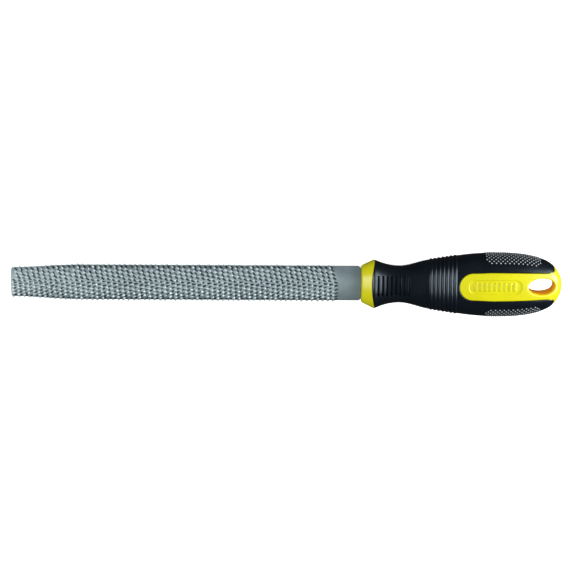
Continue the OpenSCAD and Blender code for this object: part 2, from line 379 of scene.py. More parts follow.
    def normal(self, x: np.ndarray, turn: np.ndarray) -> np.ndarray:
        """Directions square to the outline, pointing out of it.

        Args:
            x: Distances from the front of the handle.
            turn: Turns about X in radians.

        Returns:
            Directions of length one, along the last axis.
        """
        step = self.slope_step
        half = self.half_size(x)
        slope = (self.half_size(x + step) - self.half_size(x - step)) / (2.0 * step)
        n = self.squareness
        across = np.abs(np.cos(turn)) ** (2.0 / n)
        up = np.abs(np.sin(turn)) ** (2.0 / n)
        along = -(across**n * slope[..., 0] * half[..., 1] + up**n * slope[..., 1] * half[..., 0])
        out = np.stack(
            [
                along,
                across ** (n - 1.0) * half[..., 1],
                np.sign(np.sin(turn)) * up ** (n - 1.0) * half[..., 0],
            ],
            axis=-1,
        )
        return unit(out)


@dataclass(frozen=True)
class Line:
    """A line on the outline, with the direction in the surface that points into the grip."""

    form: HandleForm
    x: np.ndarray
    turn: np.ndarray

    @property
    def places(self) -> Places:
        """X and turn of the line's points."""
        return self.x, self.turn

    @property
    def out(self) -> np.ndarray:
        """Directions square to the outline along the line."""
        return self.form.normal(self.x, self.turn)

    @property
    def inward(self) -> np.ndarray:
        """Directions in the surface, square to the line, that point into the grip."""
        along = unit(np.gradient(self.form.point(self.x, self.turn), axis=0))
        return unit(np.cross(self.out, along))

    def on_side(self, end: int) -> bool:
        """Whether the line's first (0) or last (-1) point lies in the middle of the side."""
        return abs(self.turn[end]) < TINY

    def on_top(self, end: int) -> bool:
        """Whether the line's first (0) or last (-1) point lies on the top's middle line."""
        return abs(self.turn[end] - QUARTER) < TINY

    def moved(self, by: float, inset: float = 0.0) -> Places:
        """The line moved within the surface.

        Args:
            by: Distance towards the grip, or away from it where negative.
            inset: How much the surface's half sizes are taken in.

        Returns:
            The X and the turn of the moved line, whose ends stay on the planes of symmetry.
        """
        p = self.form.point(self.x, self.turn, inset) + self.inward * by
        x, turn = self.form.locate(p, inset)
        for end in (0, -1):
            if self.on_side(end) or self.on_top(end):
                turn[end] = self.turn[end]
        return x, turn

    def lip(
        self, start: np.ndarray, by: float, inset: float, radius: float, steps: int
    ) -> np.ndarray:
        """A rounded lip from the surface down into the seam.

        Args:
            start: The border of the surface that the lip grows from.
            by: Distance from the line to the lip's foot, towards the grip.
            inset: How much the lip's surface is taken in from the outline.
            radius: Radius of the rounding.
            steps: Number of steps over the rounding.

        Returns:
            Rows of points, from the surface's border down to the foot of the rounding.
        """
        edge = self.form.point(self.x, self.turn, inset) + self.inward * by
        rows = [start]
        for i in range(1, steps + 1):
            phi = QUARTER * i / steps
            level = (start - edge) * (1.0 - math.sin(phi))
            rows.append(edge + level - self.out * radius * (1.0 - math.cos(phi)))
        grid = np.stack(rows)
        for end in (0, -1):
            if self.on_side(end):
                grid[:, end, 2] = 0.0
            elif self.on_top(end):
                grid[:, end, 1] = 0.0
        return grid


@dataclass(frozen=True)
class Seams:
    """Where the hard core and the soft grip meet, in the quarter where Y and Z are positive."""

    form: HandleForm = field(default_factory=HandleForm)
    # the grip's front edge on the top, its bow, its rear edge and its wall
    grip_x: float = 5.8
    grip_front_r: float = 52.0
    grip_end: float = 109.7
    grip_wall: float = 2.5
    # the panel's round end, its widths from there to the handle's end, and how deep it lies
    panel_x: float = 55.0
    panel_w: float = 16.0
    panel_mid_w: float = 16.8
    panel_end_w: float = 15.0
    panel_step: float = 0.16
    panel_taper: float = 1.4
    corner_r: float = 1.0
    # half width of the thumb ribs, and half the run of their ends
    rib_half: float = 5.75
    rib_edge: float = 0.05
    # rows of points up to the ribs' ends and over the ribs, and distances between points
    side_rows: int = 22
    top_rows: int = 10
    nose_step: float = 0.5
    field_step: float = 0.35
    rear_step: float = 0.6
    field_clear: float = 6.0
    corner_steps: int = 3
    rear_points: int = 24
    lining_step: float = 1.6
    rounds: int = 12
    # how far cross-sections bend to follow the front edge and the rear edge
    front_settles: float = 12.0
    front_blend: float = 2.5
    rear_blend: float = 4.0
    rear_spread: float = 13.0

    @property
    def rows(self) -> int:
        """Number of points from the middle of the side to the top."""
        return self.side_rows + self.top_rows

    def shares(self, x: np.ndarray) -> np.ndarray:
        """Turns of the rows, as shares of the turn of the line that they lead up to.

        Args:
            x: Place of each cross-section on the top line.

        Returns:
            Shares by cross-section and row; two rows run close beside the ribs' ends.
        """
        at = np.minimum(x, self.panel_x)
        low = self.form.turn_at(at, np.full_like(at, self.rib_half + self.rib_edge)) / QUARTER
        high = self.form.turn_at(at, np.full_like(at, self.rib_half - self.rib_edge)) / QUARTER
        side = np.linspace(0.0, 1.0, self.side_rows)
        top = np.linspace(0.0, 1.0, self.top_rows)
        return np.concatenate(
            [low[:, None] * side, high[:, None] + (1.0 - high[:, None]) * top], axis=1
        )

    def front(self) -> Line:
        """The grip's front edge, which bows towards the hanging hole at the sides.

        Returns:
            The line from the middle of the side up to the top.
        """
        turn = self.shares(np.array([self.grip_x]))[0] * QUARTER
        x = np.full(self.rows, self.grip_x)
        for _ in range(self.rounds):
            y = self.form.point(x, turn)[:, 1]
            x = self.grip_x + self.grip_front_r - np.sqrt(self.grip_front_r**2 - y**2)
        return Line(self.form, x, turn)

    def panel_half(self, x: np.ndarray) -> np.ndarray:
        """Half width of the panel behind its round end.

        Args:
            x: Distances from the front of the handle.

        Returns:
            The half widths.
        """
        nose, middle, end = self.panel_w / 2.0, self.panel_mid_w / 2.0, self.panel_end_w / 2.0
        grow_from = self.panel_x + nose
        belly = self.form.belly[0]
        before = nose + (middle - nose) * ease((x - grow_from) / (belly - grow_from))
        share = np.clip((x - belly) / (self.form.length - belly), 0.0, 1.0)
        return np.where(x < belly, before, middle - (middle - end) * share**self.panel_taper)

    def corner(self, beta: np.ndarray) -> tuple[np.ndarray, np.ndarray]:
        """The round corner between the panel's edge and the rear edge.

        Args:
            beta: Turns round the corner in radians, from 0 on the panel's edge.

        Returns:
            X and Y of its points.
        """
        start = self.grip_end - self.corner_r
        half = float(self.panel_half(np.array([start]))[0])
        return start + self.corner_r * np.sin(beta), half + self.corner_r * (1.0 - np.cos(beta))

    def panel_edge(self) -> Line:
        """The panel's edge, from its round end to the middle of the grip's rear corner.

        Returns:
            The line, which runs from the top of the handle to the corner.
        """
        nose = self.panel_w / 2.0
        phi = spaced(0.0, QUARTER, self.nose_step / nose)
        field_end = self.form.end_x - self.field_clear
        beside = spaced(self.panel_x + nose, field_end, self.field_step)
        behind = spaced(field_end, self.grip_end - self.corner_r, self.rear_step)
        along = np.concatenate([beside, behind])
        corner = self.corner(np.linspace(0.0, QUARTER / 2.0, self.corner_steps + 1))
        x = np.concatenate([self.panel_x + nose * (1.0 - np.cos(phi)), along, corner[0]])
        y = np.concatenate([nose * np.sin(phi), self.panel_half(along), corner[1]])
        turn = self.form.turn_at(x, y)
        turn[0] = QUARTER
        return Line(self.form, x, turn)

    def rear_edge(self, top: float) -> Line:
        """The grip's rear edge, from the middle of the side up to the corner.

        Args:
            top: Turn of the middle of the corner, in radians.

        Returns:
            The line, with one point for each row.
        """
        x, y = self.corner(np.linspace(QUARTER / 2.0, QUARTER, self.rear_points))
        turn = self.form.turn_at(x, y)
        rows = self.shares(np.array([self.grip_end]))[0] * top
        return Line(self.form, np.interp(rows, turn[::-1], x[::-1]), rows)

    def around(self, edge: Line) -> Line:
        """The whole seam round the panel and the end: the panel's edge, then the rear edge.

        Args:
            edge: The panel's edge, down to the middle of the corner.

        Returns:
            One line from the panel's round end to the middle of the side.
        """
        rear = self.rear_edge(float(edge.turn[-1]))
        return Line(
            self.form,
            np.concatenate([edge.x[:-1], rear.x[::-1]]),
            np.concatenate([edge.turn[:-1], rear.turn[::-1]]),
        )

    def spread(self, fore: np.ndarray, front: Places, top: Places, rear: Places) -> Places:
        """Spreads cross-sections between the front edge, the top line and the rear edge.

        Args:
            fore: X of the cross-sections on the top, ahead of the panel.
            front: The front edge, from the side to the top.
            top: The panel's edge, from the top to the corner.
            rear: The rear edge, from the side to the corner.

        Returns:
            Places by cross-section and row.
        """
        lead = len(fore)
        top_x = np.concatenate([fore, top[0]])
        top_turn = np.concatenate([np.full(lead, QUARTER), top[1]])
        turn = self.shares(top_x) * top_turn[:, None]
        plan = self.form.point(top[0], top[1])
        walked = np.concatenate([[0.0], np.cumsum(np.linalg.norm(np.diff(plan, axis=0), axis=1))])
        spare = top[0][0] + walked[-1] - rear[0][0]
        behind = top[0][0] + walked - spare * ease(walked / self.rear_spread)
        settle = self.front_settles
        start = float(front[0][0])
        share = np.clip((fore - fore[0]) / (settle - fore[0]), 0.0, 1.0)
        ahead = np.where(fore < settle, start + (settle - start) * share, fore)
        side_x = np.concatenate([ahead, behind])
        lean = ease(np.arange(self.rows) / (self.side_rows - 1.0))
        x = side_x[:, None] + (top_x - side_x)[:, None] * lean
        near_front = (1.0 - ease((top_x - fore[0]) / self.front_blend))[:, None]
        near_rear = ease((side_x - rear[0][0] + self.rear_blend) / self.rear_blend)[:, None]
        x = x + near_front * (front[0] - x[0]) + near_rear * (rear[0] - x[-1])
        turn = turn + near_front * (front[1] - turn[0]) + near_rear * (rear[1] - turn[-1])
        return x, turn

    def border(self, grid: np.ndarray, lead: int) -> np.ndarray:
        """The border of a surface, round the panel and along the rear edge.

        Args:
            grid: Points by cross-section and row.
            lead: Number of cross-sections ahead of the panel.

        Returns:
            The border's points, from the panel's round end to the middle of the side.
        """
        return np.concatenate([grid[lead:, -1], grid[-1, ::-1][1:]])

    def lining(self, inset: float) -> tuple[np.ndarray, np.ndarray]:
        """The surface that lies under the grip's wall.

        Args:
            inset: How much the outline's half sizes are taken in.

        Returns:
            Its points by cross-section and row, and its border round the panel.
        """
        edge = self.panel_edge()
        rear = self.rear_edge(float(edge.turn[-1]))
        fore = spaced(self.grip_x, self.panel_x, self.lining_step)
        places = self.spread(fore, self.front().places, edge.places, rear.places)
        grid = self.form.point(*places, inset)
        return grid, self.border(grid, len(fore))


@dataclass(frozen=True)
class Pattern:
    """One noise pattern of a finish.

    Attributes:
        scale: How fine it is along each axis, per metre.
        octaves: Number of octaves.
        rough: How strong the finer octaves are.
        strength: Strength of the bump that it makes.
        depth: Depth of that bump, in metres.
    """

    scale: Triple
    octaves: float
    rough: float = 0.5
    strength: float = 0.0
    depth: float = 0.0


class Recipe:
    """Short hand for building one material's nodes."""

    def __init__(self, name: str) -> None:
        """Starts a material with a plain shader.

        Args:
            name: Name of the material.
        """
        self.material = bpy.data.materials.new(name)
        self.material.use_nodes = True
        self.tree = self.material.node_tree
        self.shader = self.tree.nodes["Principled BSDF"]
        self.where = self.tree.nodes.new("ShaderNodeTexCoord").outputs["Object"]

    def node(self, kind: str, **values: object) -> bpy.types.Node:
        """Adds a node.

        Args:
            kind: The node's type.
            **values: What its inputs or, where it has no such input, its properties are set to.

        Returns:
            The new node.
        """
        made = self.tree.nodes.new(kind)
        for key, value in values.items():
            label = key.replace("_", " ").title()
            if label in made.inputs:
                made.inputs[label].default_value = value
            else:
                setattr(made, key, value)
        return made

    def link(self, out: Socket, into: Socket) -> None:
        """Joins an output to an input."""
        self.tree.links.new(out, into)

    def mark(self, name: str) -> Socket:
        """The marks that a mesh carries under a name."""
        return self.node("ShaderNodeAttribute", attribute_name=name).outputs["Fac"]

    def noise(self, pattern: Pattern) -> Socket:
        """Noise over the piece.

        Args:
            pattern: How fine and how rough it is.

        Returns:
            The noise's value, from 0 to 1.
        """
        stretch = self.node("ShaderNodeMapping", scale=pattern.scale)
        self.link(self.where, stretch.inputs["Vector"])
        noise = self.node("ShaderNodeTexNoise", scale=1.0, detail=pattern.octaves, roughness=pattern.rough)
        self.link(stretch.outputs["Vector"], noise.inputs["Vector"])
        return noise.outputs["Fac"]

    def mottle(self, pattern: Pattern, turns: Pair, low: Colour, high: Colour) -> Socket:
        """Two colours that run into each other in clouds.

        Args:
            pattern: The clouds.
            turns: Where the first colour begins to turn, and where the second is reached.
            low: The first colour.
            high: The second colour.

        Returns:
            The colour.
        """
        ramp = self.node("ShaderNodeValToRGB")
        for element, turn, colour in zip(ramp.color_ramp.elements, turns, (low, high)):
            element.position = turn
            element.color = (*colour, 1.0)
        self.link(self.noise(pattern), ramp.inputs["Fac"])
        return ramp.outputs["Color"]

    def span(self, value: Socket, start: Pair, into: Pair) -> Socket:
        """A value carried over from one range to another, and held at its ends.

        Args:
            value: The value.
            start: The range that it comes from.
            into: The range that it is carried to.

        Returns:
            The new value.
        """
        ends = {"from_min": start[0], "from_max": start[1], "to_min": into[0], "to_max": into[1]}
        span = self.node("ShaderNodeMapRange", **ends)
        self.link(value, span.inputs["Value"])
        return span.outputs["Result"]

    def mix(self, share: Socket, under: Socket, over: Colour) -> Socket:
        """Lays a colour over another.

        Args:
            share: How much of the upper colour shows.
            under: The colour below.
            over: The colour above.

        Returns:
            The mixed colour.
        """
        mix = self.node("ShaderNodeMix", data_type="RGBA")
        self.link(share, mix.inputs[0])
        self.link(under, mix.inputs[6])
        mix.inputs[7].default_value = (*over, 1.0)
        return mix.outputs[2]

    def bump(self, height: Socket, pattern: Pattern) -> None:
        """Adds a bump to the shader's normal, over any bump already there.

        Args:
            height: The height of the bump, from 0 to 1.
            pattern: The pattern that the height comes from.
        """
        bump = self.node("ShaderNodeBump", strength=pattern.strength, distance=pattern.depth)
        self.link(height, bump.inputs["Height"])
        normal = self.shader.inputs["Normal"]
        if normal.is_linked:
            self.link(normal.links[0].from_socket, bump.inputs["Normal"])
        self.link(bump.outputs["Normal"], normal)

    def grain(self, pattern: Pattern, rough: Pair) -> None:
        """Lays a fine grain over the finish, which stands out and changes its roughness.

        Args:
            pattern: The grain.
            rough: The least and the greatest roughness.
        """
        height = self.noise(pattern)
        self.link(self.span(height, UNIT, rough), self.shader.inputs["Roughness"])
        self.bump(height, pattern)

    def paint(self, colour: Socket) -> None:
        """Makes a colour the shader's own."""
        self.link(colour, self.shader.inputs["Base Color"])

    def set(self, **values: object) -> None:
        """Sets the shader's own sockets, each named with _ for a space."""
        for key, value in values.items():
            self.shader.inputs[key.replace("_", " ")].default_value = value


class Finish(Protocol):
    """What every finish offers."""

    def material(self) -> bpy.types.Material:
        """Makes the material."""


@dataclass(frozen=True)
class ToothedSteel:
    """Satin rasp steel: grey-blue, with a painted highlight over shiny rubbed steel on the spurs, and
    painted shade over blackish oxide in the pits.
    """

    plain: Colour = (0.28, 0.36, 0.375)
    shade: Colour = (0.20, 0.26, 0.295)
    # painted highlight on the spurs over their shiny rubbed steel; painted shade in the pits over blackish
    # oxide
    spur_highlight_and_polish: Colour = (0.56, 0.65, 0.66)
    pit_shade_and_oxide: Colour = (0.03, 0.045, 0.055)
    cloud: Pattern = Pattern((60.0, 90.0, 90.0), 4.0)
    cloud_turns: Pair = (0.32, 0.68)
    spur_marks: Pair = (0.0, 1.15)
    pit_marks: Pair = (0.05, -0.4)
    grain: Pattern = Pattern((500.0, 6000.0, 6000.0), 3.0, strength=0.25, depth=0.00004)
    grit: Pattern = Pattern((2500.0, 2500.0, 2500.0), 2.0, strength=0.2, depth=0.00004)
    rough: Pair = (0.34, 0.52)
    metal: float = 0.4

    def material(self) -> bpy.types.Material:
        """Makes the material, which reads from the mesh how deep each place is cut, with the painted side
        shade added in.

        Returns:
            The finished material.
        """
        steel = Recipe("toothed_steel")
        cut = steel.mark("cut")
        colour = steel.mottle(self.cloud, self.cloud_turns, self.shade, self.plain)
        # the spurs take the painted highlight, the pits the painted shade
        colour = steel.mix(steel.span(cut, self.spur_marks, UNIT), colour, self.spur_highlight_and_polish)
        colour = steel.mix(steel.span(cut, self.pit_marks, UNIT), colour, self.pit_shade_and_oxide)
        steel.paint(colour)
        steel.grain(self.grain, self.rough)
        steel.bump(steel.noise(self.grit), self.grit)
        steel.set(Metallic=self.metal)
        return steel.material


@dataclass(frozen=True)
class MouldedPlastic:
    """Glossy yellow plastic with the faint mottle and orange peel of a moulding."""

    plain: Colour = (0.50, 0.48, 0.002)
    warm: Colour = (0.47, 0.445, 0.0015)
    # painted bounce light: the saturated orange that light bounced round the hanging hole lends its wall
    deep: Colour = (0.98, 0.62, 0.006)
    cloud: Pattern = Pattern((70.0, 70.0, 70.0), 3.0)
    cloud_turns: Pair = (0.35, 0.65)
    peel: Pattern = Pattern((900.0, 900.0, 900.0), 2.0, strength=0.10, depth=0.00006)
    scuff: Pattern = Pattern((350.0, 2600.0, 2600.0), 3.0, strength=0.05, depth=0.00003)
    rough: Pair = (0.24, 0.34)
    ior: float = 1.46
    coat: float = 0.06
    coat_rough: float = 0.12

    def material(self) -> bpy.types.Material:
        """Makes the material, with painted orange bounce light on the wall of the hole.

        Returns:
            The finished material.
        """
        plastic = Recipe("moulded_plastic")
        colour = plastic.mottle(self.cloud, self.cloud_turns, self.warm, self.plain)
        # the hole's wall takes the painted bounce light
        plastic.paint(plastic.mix(plastic.mark("deep"), colour, self.deep))
        plastic.grain(self.peel, self.rough)
        plastic.bump(plastic.noise(self.scuff), self.scuff)
        plastic.set(IOR=self.ior, Coat_Weight=self.coat, Coat_Roughness=self.coat_rough)
        return plastic.material


@dataclass(frozen=True)
class SoftRubber:
    """Soft black rubber: a fine matt grain with a faint cool sheen, and a painted highlight on the
    pimples' crowns.
    """

    plain: Colour = (0.0019, 0.0034, 0.0058)
    dusty: Colour = (0.0034, 0.0054, 0.0085)
    # painted highlight on the pimples' crowns
    painted_glint: Colour = (0.42, 0.46, 0.48)
    sheen: Colour = (0.70, 0.86, 1.0)
    cloud: Pattern = Pattern((110.0, 110.0, 110.0), 5.0, rough=0.6)
    cloud_turns: Pair = (0.42, 0.72)
    grain: Pattern = Pattern((3200.0, 3200.0, 3200.0), 3.0, strength=0.22, depth=0.00007)
    rough: Pair = (0.26, 0.36)
    ior: float = 1.54

    def material(self) -> bpy.types.Material:
        """Makes the material, which reads from the mesh where the painted highlight on the pimples goes.

        Returns:
            The finished material.
        """
        rubber = Recipe("soft_rubber")
        colour = rubber.mottle(self.cloud, self.cloud_turns, self.plain, self.dusty)
        # the pimples' crowns take the painted highlight
        rubber.paint(rubber.mix(rubber.mark("painted_glint"), colour, self.painted_glint))
        rubber.grain(self.grain, self.rough)
        rubber.set(IOR=self.ior, Specular_Tint=(*self.sheen, 1.0))
        return rubber.material


@dataclass
class Piece:
    """Base of the tool's pieces, each of which stands for one solid.

    Attributes:
        place: X of the handle's front in the tool's frame, in metres.
    """

    NODE: ClassVar[Node]
    SLOT: ClassVar[Slot]
    SHARP: ClassVar[float]

    place: float

    def build(self) -> bpy.types.Mesh:
        """Makes the piece's mesh, in metres and in its place."""
        raise NotImplementedError

    def dress(self, finish: Finish) -> bpy.types.Object:
        """Builds the piece, gives it its finish and lets it stand for its solid.

        Args:
            finish: The finish that it takes.

        Returns:
            The object, riding on the tool's body.
        """
        mesh = self.build()
        mesh.set_sharp_from_angle(angle=math.radians(self.SHARP))
        mesh.materials.append(finish.material())
        piece = bpy.data.objects.new(self.NODE.value + "_visible", mesh)
        bpy.context.scene.collection.objects.link(piece)
        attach(piece, BODY)
        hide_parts(self.NODE.value)
        return piece


@dataclass
class SoftGrip(Piece):
    """The black rubber sleeve with its thumb ribs, rings and pimples."""

    NODE: ClassVar[Node] = Node.GRIP
    SLOT: ClassVar[Slot] = Slot.RUBBER
    SHARP: ClassVar[float] = 38.0
    # a pimple's rings of points: share of its half width, share of its height, how much painted highlight
    # they take
    DOME: ClassVar[tuple[Triple, ...]] = (
        (0.0, 1.0, 1.0),
        (0.45, 0.9, 1.0),
        (0.8, 0.55, 0.35),
        (1.0, 0.0, 0.0),
        (1.0, -0.7, 0.0),
        (0.0, -0.7, 0.0),
    )

    seams: Seams
    lip_r: float = 0.35
    lip_steps: int = 5
    # thumb ribs: the grooves get shallower from the first to the last
    rib_pitch: float = 2.5
    groove_w: float = 1.2
    groove_count: int = 8
    groove_x: float = 9.4
    groove_deep: float = 1.4
    groove_low: float = 0.6
    groove_side: float = 0.3
    # rings
    ring_h: float = 0.5
    ring_pitch: float = 2.3
    ring_count: int = 7
    ring_bow: float = -0.6
    ring_peak: float = 1.5
    # pimples
    pimple_x: float = 70.8
    pimple_pitch: float = 2.53
    pimple_row: float = 1.28
    pimple_rows: int = 9
    pimple_columns: int = 13
    pimple_h: float = 0.33
    pimple_d: float = 1.0
    pimple_spokes: int = 8
    stepped_rows: int = 2
    belly_points: int = 200
    # distances between cross-sections
    lead_step: float = 0.18
    rib_step: float = 0.14
    waist_step: float = 0.6
    ring_step: float = 0.2

    def fore(self) -> np.ndarray:
        """Places of the cross-sections ahead of the panel.

        Returns:
            Their X, close together over the ribs and the rings.
        """
        first = self.seams.grip_x + self.lip_r
        ribs = self.groove_x - self.rib_pitch / 2.0
        ribs_end = self.groove_x + self.rib_pitch * self.groove_count
        rings = self.seams.form.ring[0]
        runs = [
            spaced(first, ribs, self.lead_step),
            spaced(ribs, ribs_end, self.rib_step),
            spaced(ribs_end, rings, self.waist_step),
            spaced(rings, self.seams.panel_x - self.lip_r, self.ring_step),
        ]
        return np.concatenate(runs)

    def groove(self, x: np.ndarray) -> np.ndarray:
        """Depth of the grooves between the thumb ribs, which get shallower one by one.

        Args:
            x: Distances from the front of the handle.

        Returns:
            The depths.
        """
        number = np.clip(np.round((x - self.groove_x) / self.rib_pitch), 0, self.groove_count - 1)
        off = np.abs(x - self.groove_x - number * self.rib_pitch)
        share = number / (self.groove_count - 1)
        deep = self.groove_deep + (self.groove_low - self.groove_deep) * share
        side = self.groove_side * self.groove_w
        return deep * (1.0 - ease((off - side) / side))

    def ring(self, x: np.ndarray, turn: np.ndarray) -> np.ndarray:
        """Height of the rings, which bow a little along the handle from top to side.

        Args:
            x: Distances from the front of the handle.
            turn: Turns about X in radians.

        Returns:
            The heights.
        """
        bowed = x - self.seams.form.ring[0] + self.ring_bow * (np.cos(turn) ** 2 - 0.5)
        wave = np.sin(math.pi * bowed / self.ring_pitch) ** 2
        inside = (bowed > 0.0) & (bowed < self.ring_pitch * self.ring_count)
        return np.where(inside, self.ring_h * wave**self.ring_peak, 0.0)

    def row_turns(self) -> dict[int, float]:
        """Spaces the rows of pimples evenly round the belly.

        Returns:
            The turn of each row in radians, by its number from the middle of the side.
        """
        form = self.seams.form
        turns = np.linspace(0.0, QUARTER, self.belly_points)
        ring = form.point(np.full(turns.shape, form.belly[0]), turns)
        walked = np.concatenate([[0.0], np.cumsum(np.linalg.norm(np.diff(ring, axis=0), axis=1))])
        rows = range(-self.pimple_rows, self.pimple_rows + 1)
        return {
            row: math.copysign(float(np.interp(abs(row) * self.pimple_row, walked, turns)), row)
            for row in rows
        }

    def pimple(self, x: float, turn: float, side: int) -> tuple[np.ndarray, np.ndarray]:
        """One pimple: a small closed dome with its foot sunk in the grip.

        Args:
            x: Place along the handle.
            turn: Turn about X from the middle of the side, in radians, positive upwards.
            side: 1 or -1 for the side of the handle.

        Returns:
            A grid of points, from its crown over its foot to its underside, and their marks.
        """
        form = self.seams.form
        at = form.point(np.array([x]), np.array([turn]))[0]
        out = form.normal(np.array([x]), np.array([turn]))[0]
        along = unit(np.cross([0.0, -out[2], out[1]], out))
        round_ = np.cross(out, along)
        angles = np.linspace(0.0, 2.0 * math.pi, self.pimple_spokes + 1)
        spokes = np.cos(angles)[:, None] * along + np.sin(angles)[:, None] * round_
        rows = [
            at + spokes * wide * self.pimple_d / 2.0 + out * high * self.pimple_h
            for wide, high, _ in self.DOME
        ]
        grid = np.stack(rows) * np.array([1.0, side, 1.0])
        grid[:, -1] = grid[:, 0]
        # how much painted highlight each ring of the dome takes
        painted_glint = np.array([[glint] for _, _, glint in self.DOME])
        return grid, np.repeat(painted_glint, len(angles), axis=1)

    def pimples(self, shell: Shell) -> None:
        """Adds both fields of pimples, whose ends step back towards the panel.

        Args:
            shell: The shell that takes them.
        """
        for row, turn in self.row_turns().items():
            inner = max(0, abs(row) - self.pimple_rows + self.stepped_rows)
            late = inner if inner else (row + self.pimple_rows) % 2
            count = self.pimple_columns - late
            for side in (1, -1):
                for column in range(count):
                    x = self.pimple_x + (column + late / 2.0) * self.pimple_pitch
                    shell.add(*self.pimple(x, turn, side))

    def build(self) -> bpy.types.Mesh:
        """Makes the sleeve and its pimples.

        Returns:
            The mesh, with the pimples' crowns marked for their painted highlight.
        """
        seams = self.seams
        front = seams.front()
        edge = seams.panel_edge()
        seam = seams.around(edge)
        count = len(edge.x)
        # the outer skin ends a lip's radius short of its edges
        x, turn = seam.moved(self.lip_r)
        top = (x[:count], turn[:count])
        back = (x[count - 1 :][::-1], turn[count - 1 :][::-1])
        fore = self.fore()
        x, turn = seams.spread(fore, front.moved(self.lip_r), top, back)
        depth = np.where(np.arange(seams.rows) >= seams.side_rows, self.groove(x), 0.0)
        rise = self.ring(x, turn) - depth
        skin = seams.form.point(x, turn) + seams.form.normal(x, turn) * rise[..., None]
        lining, foot = seams.lining(seams.grip_wall)
        lip = seam.lip(seams.border(skin, len(fore)), 0.0, 0.0, self.lip_r, self.lip_steps)
        nose = front.lip(skin[0], 0.0, 0.0, self.lip_r, self.lip_steps)
        shell = Shell()
        shell.add_quarters(skin)
        shell.add_quarters(lining)
        shell.add_quarters(np.concatenate([lip, foot[None]]))
        shell.add_quarters(np.concatenate([nose, lining[0][None]]))
        self.pimples(shell)
        return shell.mesh(self.NODE.value, self.place, "painted_glint")


